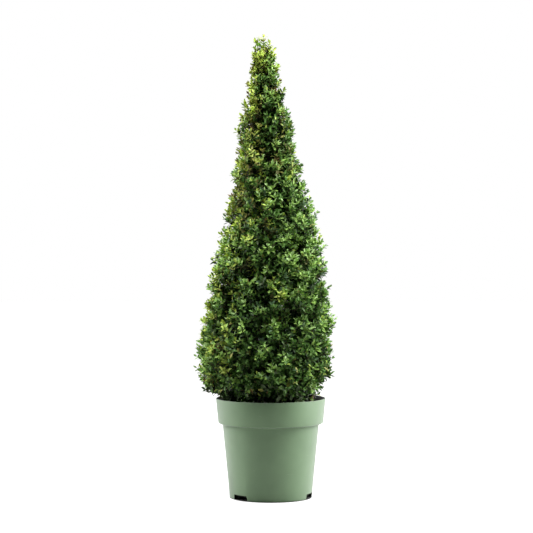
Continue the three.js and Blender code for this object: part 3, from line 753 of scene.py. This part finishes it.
# (degrees from +X, distance of the foot from the pot's axis, distance of the top)
SIDE_STEMS = [
    (4, 0.104, 0.118), (-62, 0.058, 0.08), (-128, 0.066, 0.092), (168, 0.052, 0.084), (82, 0.06, 0.08),
]
SIDE_STEM_RADII = (0.0058, 0.0034)
FURROWS = 0.0007


def trunk_middle(z, foot):
    """The trunk's middle: it settles over to the crown's middle as it rises."""
    settle = smoothstep(z, foot, foot + 0.260)[..., None]
    sway = np.stack([0.0025 * np.sin(z / 0.090), 0.002 * np.sin(z / 0.070 + 1), z + 0 * z], axis=-1)
    return crown_middle(z) * settle * [1, 1, 0] + sway


def trunk_radius(z, foot, top):
    return mix(TRUNK_RADIUS, TRUNK_TOP_RADIUS, np.clip((z - foot) / (top - foot), 0, 1) ** 0.85)


def furrows(paths, sides, seed):
    """Fine upright ridges for the skin of limbs."""
    places = paths[:, :, None] * [1, 1, 0.3] + on_ring(0.02, around(sides), 0)
    return FURROWS * (waves(places, 0.009, seed) + 0.6 * waves(places, 0.004, seed + 1))


def bark_piece(name, path, radii, sides, material, node, relief=0):
    relief = relief + furrows(path[None], sides, len(name)) * np.minimum(1, radii / 0.006)[:, None]
    points, faces, _ = tubes(path[None], radii, sides, relief)
    piece = mesh_piece(name, points, faces, [material])
    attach(piece, "root")
    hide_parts(node)


def make_trunk(material):
    foot, top = heights("trunk")
    t = np.linspace(0, 1, 190) ** 1.3
    z = mix(foot, top, t)
    path = trunk_middle(z, foot)
    lobes = 1 + LOBE_DEPTH * np.cos(FLARE_LOBES * around(TRUNK_SIDES) + 0.6)
    flare = TRUNK_FLARE * lobes * np.exp((foot - z) / FLARE_HEIGHT)[:, None]
    knots = KNOT_HEIGHT * np.maximum(0, waves(path, 0.05, 9))[:, None]
    radii = trunk_radius(z, foot, top)
    bark_piece("trunk_bark", path, radii, TRUNK_SIDES, material, "trunk", flare + knots)


def side_stem_path(place, t):
    degrees, foot_at, top_at = place
    angle = math.radians(degrees)
    out = mix(foot_at, top_at, np.sin(t * math.pi / 2))
    sway = 0.003 * np.sin(3 * t + degrees)
    x = out * math.cos(angle) - sway * math.sin(angle)
    y = out * math.sin(angle) + sway * math.cos(angle)
    return np.stack([x, y, mix(heights("side_stem_1")[0], SIDE_STEM_TOP, t)], axis=-1)


def make_side_stems(material):
    for k, place in enumerate(SIDE_STEMS, 1):
        t = np.linspace(0, 1, 40)
        radii = mix(*SIDE_STEM_RADII, t) + 0.0035 * np.exp(-t * 5.3)
        path = side_stem_path(place, t)
        bark_piece(f"side_stem_bark_{k}", path, radii, SIDE_STEM_SIDES, material, f"side_stem_{k}")


def bough_paths():
    """Paths of the boughs, from the trunk and the side stems to near the clipped surface."""
    foot, top = heights("trunk")
    shares = spread_shares(*flank_share(np.array(BOUGH_HEIGHTS)), BOUGHS)
    angles = np.arange(BOUGHS) * GOLDEN_ANGLE
    r, z = outline(shares)
    ends = crown_point(shares, angles, np.minimum(0.075, 0.55 * r))
    starts = trunk_middle(np.clip(z - 0.62 * r - 0.01, foot + 0.015, top - 0.03), foot)
    stems = [(place, k) for place in SIDE_STEMS for k in range(4)]
    tips = np.array([side_stem_path(place, np.array([0.96]))[0] for place, _ in stems])
    fan = np.array([math.radians(place[0]) + (k - 1.5) * 0.42 for place, k in stems])
    fan_shares = flank_share(np.array([0.315 + 0.035 * k for _, k in stems]))
    starts = np.vstack([starts, tips])
    ends = np.vstack([ends, crown_point(fan_shares, fan, 0.07)])
    bends = mix(starts, ends, 0.55) - UP * 0.10 * gaps(starts, ends)
    return bezier(starts, bends, ends, np.linspace(0, 1, 14))


def hub_places():
    """Where the fine shoots part, evenly under the clipped surface: their places, the surface's normals
    there, and how far each one's shoots are sunk. No deep one has another close beside it."""
    low, high = FIRST_SHARE, flank_share(CORE_TOP)
    _, radii, lengths = strips(low, high)
    count = int((2 * math.pi * radii * lengths).sum() / HUB_SPACING**2)
    rng = np.random.default_rng(SEED + 2)
    shares = spread_shares(low, high, count)
    angles = np.arange(count) * GOLDEN_ANGLE + rng.uniform(-0.1, 0.1, count)
    depth = np.minimum(HUB_DEPTH, 0.5 * outline(shares)[0] + 0.006) * rng.uniform(0.9, 1.1, count)
    places = crown_point(shares, angles, depth)
    beside = np.argsort(np.linalg.norm(places[:, None] - places[None], axis=-1), axis=1)[:, 1:4]
    ranks = rng.uniform(size=count)
    pits = ranks < ranks[beside].min(axis=1)
    sunk = np.where(pits, rng.uniform(*PIT_DEPTHS, count), rng.uniform(*LEVEL_DEPTHS, count))
    return places, crown_normal(shares, angles), sunk


def branchlet_paths(hubs, boughs):
    """Branchlets from the boughs out to the hubs, each from the nearest bough below it."""
    spots = boughs[:, 5:].reshape(-1, 3)
    apart = np.linalg.norm(hubs[:, None] - spots[None], axis=-1)
    above = np.maximum(0, spots[None, :, 2] - hubs[:, None, 2])
    starts = spots[np.argmin(apart + 1.5 * above, axis=1)]
    bends = mix(starts, hubs, 0.5) - UP * 0.12 * gaps(starts, hubs)
    return bezier(starts, bends, hubs, TWIG_STEPS)


def make_boughs(material, boughs, branchlets):
    length = gaps(boughs[:, 0], boughs[:, -1])
    radii = mix(BOUGH_RADIUS, 0.0016, np.linspace(0, 1, boughs.shape[1]))[None] * (0.45 + 3.6 * length)
    thick = tubes(boughs, radii, 8, furrows(boughs, 8, 31) * 0.5)[:2]
    thin = tubes(branchlets, mix(0.0017, 0.0012, TWIG_STEPS), 5)[:2]
    piece = mesh_piece("boughs", *stacked([thick, thin]), [material])
    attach(piece, "root")


# Leaves and fine shoots

# A leaf's outline as (along, across) from its root to its tip, one side of it
LEAF_SIDE = [(0.12, 0.22), (0.38, 0.47), (0.68, 0.45), (0.91, 0.22)]
LEAF_MIDDLE = 0.52
LEAF_FOLD = 0.30  # how much the halves rise from the midrib, of their width
# The crown's lower edge, which no leaf passes: (radius, height) round a line just left of the pot's axis
HEM = [
    (0.1, 0.248), (0.112, 0.256), (0.142, 0.269), (0.156, 0.273), (0.172, 0.285), (0.2, 0.3),
]
HEM_MIDDLE = -0.010


def leaf_template():
    """Places (along, across) and triangles of one leaf: a fan about the midrib's middle on each side."""
    places = [(0, 0), (LEAF_MIDDLE, 0), (1, 0), *LEAF_SIDE, *((a, -c) for a, c in LEAF_SIDE)]
    count = len(LEAF_SIDE)
    ring_left = [0, *range(3, 3 + count), 2]
    ring_right = [0, *range(3 + count, 3 + 2 * count), 2]
    faces = [(1, b, a) for a, b in zip(ring_left, ring_left[1:])]
    faces += [(1, a, b) for a, b in zip(ring_right, ring_right[1:])]
    return np.array(places), np.array(faces)


LEAF_PLACES, LEAF_FACES = leaf_template()


def leaf_points(roots, along, face, length, width, arch, fold):
    """Vertices of leaves: folded on the midrib and arched back towards the tip."""
    across = unit(np.cross(face, along))
    up = np.cross(along, across)
    a, c = LEAF_PLACES.T
    rise = fold[:, None] * np.abs(c) * width[:, None] - arch[:, None] * a**2 * length[:, None]
    return (
        roots[:, None]
        + (a * length[:, None])[..., None] * along[:, None]
        + (c * width[:, None])[..., None] * across[:, None]
        + rise[..., None] * up[:, None]
    )


def shoot_ends(rng):
    """The ends, directions and tiers of the fine shoots, and whether each stays inside."""
    ends, directions, tiers, inside = [], [], [], []
    edges = [FIRST_SHARE, *flank_share(np.array(TIER_EDGES)), flank_share(SHOOTS_TOP)]
    for tier, count in enumerate(SHOOTS_PER_TIER):
        count = count * (FINER + INNER)
        shares = spread_shares(edges[tier], edges[tier + 1], count)
        shares = shares + rng.uniform(-0.006, 0.006, count)
        radius = np.maximum(outline(shares)[0], 0.03)
        angles = np.arange(count) * GOLDEN_ANGLE + tier + rng.uniform(-0.007, 0.007, count) / radius
        past = np.zeros(count)
        inner = rng.uniform(size=count) < INNER / (FINER + INNER)
        past[inner] = -rng.uniform(0.35, 0.65, inner.sum()) * np.minimum(radius[inner], 0.085)
        add_shoots(ends, directions, shares, angles, past, rng)
        tiers.append(np.full(count, tier))
        inside.append(inner)
    for height, degrees, past in STRAYS:
        home = sum(height > edge for edge in TIER_EDGES)
        angles = math.radians(degrees) + rng.normal(0, 0.06, STRAY_SHOOTS)
        shares = flank_share(height + rng.normal(0, 0.008, STRAY_SHOOTS))
        add_shoots(ends, directions, shares, angles, past * np.linspace(1, 0.2, STRAY_SHOOTS), rng)
        tiers.append(np.full(STRAY_SHOOTS, home))
        inside.append(np.zeros(STRAY_SHOOTS, bool))
    return np.vstack(ends), np.vstack(directions), np.concatenate(tiers), np.concatenate(inside)


def add_shoots(ends, directions, shares, angles, past, rng):
    normal = crown_normal(shares, angles)
    direction = unit(normal + UP * SHOOT_RISE + rng.uniform(-0.3, 0.3, normal.shape))
    surface = crown_point(shares, angles, 0)
    relief = 0.004 * waves(surface, 0.055, 17) + 0.003 - np.abs(rng.normal(0, 0.003, len(normal)))
    back = LEAF_LENGTH * 0.45
    ends.append(surface + normal * (relief + past)[:, None] - direction * back)
    directions.append(direction)


def fine_shoots(rng, hubs):
    """The fine shoots' paths from hub to end, with each one's tier and hub, whether it stays inside, and
    how far it ends from its hub's middle line."""
    hubs, hub_normals, sunk = hubs
    ends, directions, tiers, inside = shoot_ends(rng)
    inner = ends - directions * HUB_DEPTH * 0.9
    nearest = np.argmin(np.linalg.norm(inner[:, None] - hubs[None], axis=-1), axis=1)
    starts = hubs[nearest]
    normals = hub_normals[nearest]
    off = ends - starts
    sideways = off - (off * normals).sum(1, keepdims=True) * normals
    aside = np.linalg.norm(sideways, axis=1)
    from_middle = np.linalg.norm((ends - crown_middle(ends[:, 2]))[:, :2], axis=1)
    drop = sunk[nearest] + CLUMP_DOME * (aside / HUB_SPACING) ** 2
    drop = np.minimum(drop * np.minimum(1, from_middle / FULL_RADIUS), MOST_DROP)
    ends = ends - normals * drop[:, None] - CLUMP_PULL * sideways
    paths = bezier(starts, ends - directions * 0.6 * gaps(starts, ends), ends, TWIG_STEPS)
    return paths, tiers, nearest, inside, aside


def leading_shoots():
    """The longer shoots that stand round the leader and make the tip."""
    ends = np.array(LEADERS)
    middle = crown_middle(ends[:, 2] - 0.075)
    starts = mix(middle, ends * [1, 1, 0] + middle * [0, 0, 1], 0.25)
    bends = mix(starts, ends, 0.6) + (middle - ends) * [0.2, 0.2, 0]
    return bezier(starts, bends, ends, TWIG_STEPS)


def tuft_chance(points):
    """A number from 0 to 1 for each point, that points in the same small cube of space share."""
    cubes = np.floor(points / TUFT_SIZE) @ [12.9898, 78.233, 37.719]
    return np.abs(np.sin(cubes) * 43758.5453) % 1


def spray_kinds(rng, ends, aside, inside, hubs_of, hub_count):
    """Which kind of spray each shoot is, by its place, its hub and chance: more yellow and dull olive ones on
    the left, more green ones on the right and the middle's front, and more deep ones at the foot. Some of it
    is painted light: lighter sprays towards the left and right sides stand partly for light shining through
    the leaves there, lighter sprays at the tip are painted backlight, and the darker hem under the crown, the
    dark fill inside it and the darker edges of each spray are painted shade."""
    middle = crown_middle(ends[:, 2])
    out = unit((ends - middle) * [1, 1, 0])
    left, right, front = np.maximum(-out[:, 0], 0), np.maximum(out[:, 0], 0), out[:, 1] ** 2
    # crest is the tip's zone, where sprays are made lighter as painted backlight
    high, crest_painted_backlight = smoothstep(ends[:, 2], 0.6, 1.15), smoothstep(ends[:, 2], 1.05, 1.2)
    low = 1 - smoothstep(ends[:, 2], 0.38, 0.68)
    under = 1 - smoothstep(ends[:, 2], 0.283, 0.343)
    mood = 1.2 * rng.uniform(0, 1, hub_count)[hubs_of] ** 1.6 + 0.28 * (1 + waves(ends, 0.12, 23))
    # lighter shoots at each spray's middle and darker ones at its edge: partly fresh growth, partly painted
    # shade between sprays
    mood += TUFT * (0.4 - smoothstep(aside, 0.006, 0.020))
    fresh = np.maximum(mood, 0)
    # the lighter flush, yellow and green sprays towards the left and right sides are partly painted light,
    # for light shining through the leaves at the crown's edges
    weights = {
        "flush": 0.02 + 0.46 * fresh**3 * (0.35 + 1.5 * left) * (1 - 0.6 * low) + (0.04 + 0.24 * left) * high,
        "yellow": 0.02 + 0.85 * left**3 * (1 - 0.5 * low) + (0.04 + 0.50 * left) * high + 0.4 * crest_painted_backlight,
        "green": 0.15 + 1.02 * fresh**2 * (1 - 0.6 * low) + 1.05 * right * (1 - 0.7 * low) * (1 - 0.7 * high)
        + 0.30 * front * (1 - low) * (1 - high),
        "deep": 0.88 - 0.50 * mood + low * (0.58 - 0.53 * left**4) + 0.25 * high * right - 0.50 * crest_painted_backlight
        - (0.55 + 0.30 * high) * left**2 - 0.35 * right * (1 - low) * (1 - high),
        "grey": (0.14 - 0.10 * high) * (1 - 0.8 * left),
        "bronzed": 0.02 + high * (0.11 + 0.28 * left),
        "olive_and_painted_light": 0.02 + (0.12 + 1.10 * left) * high,
        "crest_painted_backlight": 1.1 * crest_painted_backlight + 6 * smoothstep(ends[:, 2], 1.21, 1.24),
        "hem": 0 * left,
        "inner": 0 * left,
    }
    table = np.maximum(np.stack([weights[name] for name in SPRAY_NAMES], axis=1), 0.01)
    table[:, SPRAY_NAMES.index("inner")] = 0
    # under the crown's lower edge the sprays are the dark hem: painted shade
    table = table * (1 - under[:, None])
    table[:, SPRAY_NAMES.index("hem")] += under
    table = np.cumsum(table / table.sum(axis=1, keepdims=True), axis=1)
    chance = (tuft_chance(ends) + rng.normal(0, 0.05, len(ends))) % 1
    kinds = (chance[:, None] > table).sum(axis=1).clip(0, len(SPRAY_NAMES) - 1)
    # shoots that stay inside become the dark inner fill, painted shade, except on the upper left, where the
    # crown is painted lighter, and near the tip
    hidden = (1 - 1.1 * high * left) * (1 - smoothstep(ends[:, 2], 1.10, 1.18))
    kinds[inside & (rng.uniform(size=len(ends)) < hidden)] = SPRAY_NAMES.index("inner")
    return kinds


def leaves_of(rng, paths, kinds):
    """The leaves on the shoots: roots, directions, faces, sizes, the colour of each, and its shoot."""
    count, rings = paths.shape[:2]
    steps = np.linalg.norm(np.diff(paths, axis=1), axis=2)
    run = np.concatenate([np.zeros((count, 1)), np.cumsum(steps, axis=1)], axis=1)
    total = run[:, -1]
    along, side, other = frames(paths)
    spin = rng.uniform(0, math.pi, count)
    palette = np.array([[LEAF_NAMES.index(name) for name in row.split()] for row in SPRAYS.values()])
    size = np.where(kinds == SPRAY_NAMES.index("inner"), INNER_LEAF_SIZE, 1)
    made = []
    for k in range(PAIRS):
        gap = PAIR_GAP * rng.uniform(0.85, 1.15, count)
        at = (total - 0.0012 - k * gap) / total
        place = np.clip(at, 0, 1) * (rings - 1)
        low = np.minimum(place.astype(int), rings - 2)
        part = (place - low)[:, None]
        row = np.arange(count)
        root = mix(paths[row, low], paths[row, low + 1], part)
        axis, u, v = (unit(mix(f[row, low], f[row, low + 1], part)) for f in (along, side, other))
        spread = mix(TIP_SPREAD, OLD_SPREAD, min(1, k / 4) ** 0.7)
        grown = [0.70, 0.92, 1.0][min(k, 2)]
        grows = (at > 0.08) & (rng.uniform(size=count) < mix(1, 0.62, k / PAIRS))
        for half in (0, math.pi):
            about = (spin + half + k * math.pi / 2 + rng.normal(0, 0.22, count))[:, None]
            out = np.cos(about) * u + np.sin(about) * v
            open_by = np.radians(spread + rng.normal(0, 11, count))[:, None]
            leaf_along = unit(np.cos(open_by) * axis + np.sin(open_by) * out)
            face = axis * 1.0 + UP * 0.35 + rng.normal(0, 0.28, axis.shape)
            face = unit(face - (face * leaf_along).sum(1, keepdims=True) * leaf_along)
            colour = palette[kinds, k]
            other_kind = palette[rng.permutation(kinds), k]
            mixed = (rng.uniform(size=count) < MIXED_LEAVES) & (kinds != SPRAY_NAMES.index("crest_painted_backlight"))
            colour = np.where(mixed, other_kind, colour)
            length = LEAF_LENGTH * grown * size * rng.uniform(0.82, 1.12, count)
            kept = grows & (rng.uniform(size=count) < 0.96)
            made.append((root, leaf_along, face, length, colour, row, kept))
    fields = [np.concatenate(column) for column in zip(*made)]
    keep = fields.pop()
    return [field[keep] for field in fields]


def clear_of_the_rest(points, limits):
    """Which leaves or twigs stay inside the frame's box, above the hem, and off the pot, soil and trunk."""
    low, high = limits
    foot, top = heights("trunk")
    inside = ((points > low + 0.0005) & (points < high + [-0.0005, -0.0005, PROUD])).all(axis=(1, 2))
    x, y, z = np.moveaxis(points, -1, 0)
    r = np.hypot(x - HEM_MIDDLE, y)
    hem = np.interp(r, *zip(*HEM))
    above_hem = (z > np.where(r > HEM[0][0], hem, heights("soil")[1] + 0.002)).all(axis=1)
    pot_radius, _, pot_top = box_size("pot")[1]
    on_wall = ((np.hypot(x, y) > pot_radius - WALL - 0.003) & (z < pot_top + 0.002)).any(axis=1)
    centre = points.mean(axis=1)
    from_trunk = np.linalg.norm((centre - trunk_middle(centre[:, 2], foot))[:, :2], axis=1)
    off_trunk = (from_trunk > trunk_radius(centre[:, 2], foot, top) + 0.003) | (centre[:, 2] > top)
    return inside & above_hem & ~on_wall & off_trunk


MOST_TRIANGLES = 190_000


def foliage_pieces(kind, tier, points, faces, per_item, slots, materials):
    """Joined pieces of one kind for a tier, each under MOST_TRIANGLES triangles."""
    items = len(faces) // per_item
    parts = math.ceil(len(faces) / MOST_TRIANGLES)
    for part in range(parts):
        chosen = slice(items * part // parts * per_item, items * (part + 1) // parts * per_item)
        own = faces[chosen]
        first, last = own.min(), own.max() + 1
        name = f"{kind}_{TIERS[tier]}" + (f"_{part + 1}" if parts > 1 else "")
        piece = mesh_piece(name, points[first:last], own - first, materials, slots[chosen])
        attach(piece, "root")
        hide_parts("foliage_" + TIERS[tier])


def make_foliage(limits, hubs):
    rng = np.random.default_rng(SEED)
    paths, tiers, hubs_of, inside, aside = fine_shoots(rng, hubs)
    leaders = leading_shoots()
    paths = np.vstack([paths, leaders])
    none = np.zeros(len(leaders), int)
    tiers, hubs_of = np.append(tiers, none + len(TIERS) - 1), np.append(hubs_of, none)
    aside, inside = np.append(aside, none), np.append(inside, none > 0)
    kinds = spray_kinds(rng, paths[:, -1], aside, inside, hubs_of, len(hubs[0]))
    roots, along, face, length, colour, shoot_of = leaves_of(rng, paths, kinds)
    count = len(roots)
    width = length * LEAF_WIDTH_SHARE * rng.uniform(0.88, 1.12, count)
    arch = rng.uniform(0.04, 0.26, count)
    fold = LEAF_FOLD * rng.uniform(0.4, 1.7, count)
    points = leaf_points(roots, along, face, length, width, arch, fold)
    kept = clear_of_the_rest(points, limits)
    twig_kept = clear_of_the_rest(paths, limits)
    kept &= twig_kept[shoot_of]
    leaf_looks, twig_looks = leaf_materials(), twig_materials()
    ages = np.array([2, 2, 1, 1, 1, 0])  # dark, then brown, then young towards the end
    for tier in range(len(TIERS)):
        own = kept & (tiers[shoot_of] == tier)
        grid = points[own]
        faces = copies(LEAF_FACES, len(grid), len(LEAF_PLACES))
        slots = np.repeat(colour[own], len(LEAF_FACES))
        foliage_pieces("leaves", tier, grid.reshape(-1, 3), faces, len(LEAF_FACES), slots, leaf_looks)
        stems = paths[twig_kept & (tiers == tier)]
        twig_points, twig_faces, each = tubes(stems, TWIG_RADIUS * mix(1, 0.55, TWIG_STEPS), TWIG_SIDES)
        one = np.concatenate([np.repeat(ages, 2 * TWIG_SIDES), [2], [0]])
        foliage_pieces("twigs", tier, twig_points, twig_faces, each, np.tile(one, len(stems)), twig_looks)


# Stage, light and camera

CAMERA_PLACE = (-0.0116, -4.773, 0.716)
CAMERA_PITCH = 1.04  # degrees down
CAMERA_LENS = 118  # millimetres, on a 36 mm sensor
AMBIENT = 0.04
FLOOR_RADIUS = 14
FLOOR_DROP = 0.0003  # under the pot, so that the two don't meet in one plane
CONTACT_SHIFT = 0.006  # how far the painted contact shadow under the pot shows in front of it
# Painted shade round the pot: the paper glows dimmer near it. Up to the near distance it is as bright as
# this, and full at the far one
GLOW_NEAR = 0.15
GLOW_FAR = 0.9
PAINTED_SHADE_GLOW = 0.74


def make_camera():
    data = bpy.data.cameras.new("camera")
    data.lens = CAMERA_LENS
    data.sensor_width = 36
    camera = new_object("camera", data)
    camera.location = CAMERA_PLACE
    camera.rotation_euler = (math.radians(90 - CAMERA_PITCH), 0, 0)
    bpy.context.scene.camera = camera


def softbox(name, place, target, width, height, power):
    data = bpy.data.lights.new(name, "AREA")
    data.shape = "RECTANGLE"
    data.size, data.size_y = width, height
    data.energy = power
    light = new_object(name, data)
    light.location = place
    light.rotation_euler = (Vector(target) - Vector(place)).to_track_quat("-Z", "Y").to_euler()


def make_floor():
    """A wide white floor that glows as bright as the paper of a lit studio, with painted shade: its glow is
    dimmer near the pot, and a dark disc under the pot is a painted contact shadow.
    """
    mesh = bpy.data.meshes.new("floor")
    segments = 96
    radii = (FOOT_RADIUS, FLOOR_RADIUS)
    ring = [(r * math.cos(a), r * math.sin(a) - CONTACT_SHIFT, 0) for r in radii for a in around(segments)]
    wide = [(i, i + segments, segments + (i + 1) % segments, (i + 1) % segments) for i in range(segments)]
    mesh.from_pydata(ring, [], [list(range(segments)), *wide])
    # a dark disc under the pot that doesn't glow: a painted contact shadow
    mesh.materials.append(new_material("painted_contact_shadow", (0.08, 0.08, 0.08), 1.0, 0.0))
    for face in list(mesh.polygons)[1:]:
        face.material_index = 1
    material = new_material("paper", (0.35, 0.35, 0.35), 1.0, 0.0)
    n = Nodes(material)
    from_pot = n.add("VectorMath", operation="LENGTH")
    n.link(n.place, from_pot.inputs[0])
    spread = n.add("MapRange")
    set_inputs(spread, {"From Max": GLOW_FAR})
    n.link(from_pot.outputs["Value"], spread.inputs["Value"])
    # painted shade: the glow is dimmer near the pot
    glow = n.ramp(spread.outputs["Result"], (GLOW_NEAR / GLOW_FAR, PAINTED_SHADE_GLOW), (1, 1.0))
    n.shade("Emission Color", glow)
    n.shade("Emission Strength", n.add("LightPath").outputs["Is Camera Ray"])
    mesh.materials.append(material)
    floor = new_object("floor", mesh)
    floor.location.z = -FLOOR_DROP


def make_world():
    """White all round for the eye, with a dimmer, even light from it."""
    world = bpy.data.worlds.new("studio")
    world.use_nodes = True
    tree = world.node_tree
    tree.nodes.clear()
    kinds = ("OutputWorld", "MixShader", "LightPath")
    output, pick, ray = (tree.nodes.new("ShaderNode" + kind) for kind in kinds)
    for socket, strength in ((1, AMBIENT), (2, 1.0)):
        shade = tree.nodes.new("ShaderNodeBackground")
        set_inputs(shade, {"Color": (1, 1, 1, 1), "Strength": strength})
        tree.links.new(shade.outputs[0], pick.inputs[socket])
    tree.links.new(ray.outputs["Is Camera Ray"], pick.inputs[0])
    tree.links.new(pick.outputs[0], output.inputs["Surface"])
    bpy.context.scene.world = world


def make_light():
    make_world()
    softbox("left_softbox", (-2.35, 0.45, 1.50), (0, 0, 0.70), 1.4, 2.2, 88)
    softbox("right_softbox", (2.4, 0.10, 1.50), (0, 0, 0.70), 1.4, 2.2, 134)
    softbox("backdrop", (0, 2.8, 1.6), (0, 0, 1.0), 8.0, 4.0, 160)
    softbox("top_softbox", (0, -0.75, 3.3), (0, 0, 0.9), 1.2, 1.2, 96)
    bpy.context.scene.view_settings.view_transform = "Standard"


def main():
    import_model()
    cad_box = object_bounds()
    make_pot()
    make_soil()
    brown = bark()
    make_trunk(brown)
    make_side_stems(brown)
    boughs, hubs = bough_paths(), hub_places()
    make_boughs(brown, boughs, branchlet_paths(hubs[0], boughs))
    make_foliage(np.array(cad_box), hubs)
    make_floor()
    make_light()
    make_camera()


main()
